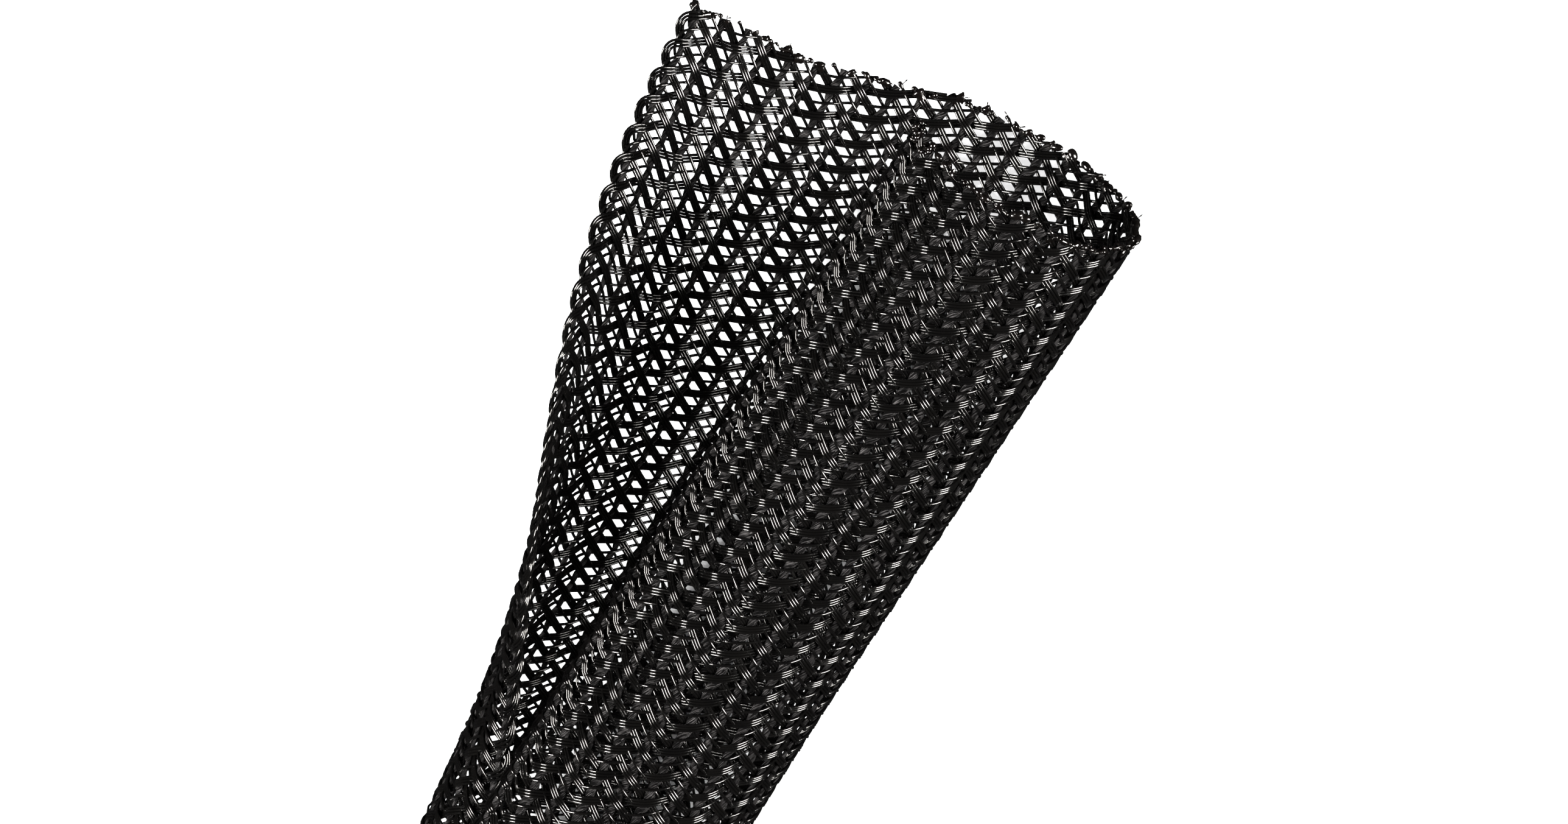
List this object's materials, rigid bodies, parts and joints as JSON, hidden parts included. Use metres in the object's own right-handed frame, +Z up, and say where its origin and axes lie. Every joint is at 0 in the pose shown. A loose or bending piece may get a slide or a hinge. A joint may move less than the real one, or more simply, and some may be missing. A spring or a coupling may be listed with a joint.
{
  "type": "braided cable sleeve",
  "caption": "Side-split braided sleeve that wraps itself around a cable bundle, with its inner flap pulled open at one hot-cut end.",
  "frame": {"origin": "centre of the part's bounding box in plan, on the floor that the sleeve lies on", "axes": "+X along the sleeve toward its opened mouth, +Y to the side where the inner flap is pulled out, +Z up"},
  "size_m": [0.305, 0.046, 0.0266],
  "materials": {
    "black_braid": "black glossy monofilament braid with matt multifilament yarns"
  },
  "bodies": {
    "root": {"sleeve_wall": "black_braid"}
  },
  "joints": []
}
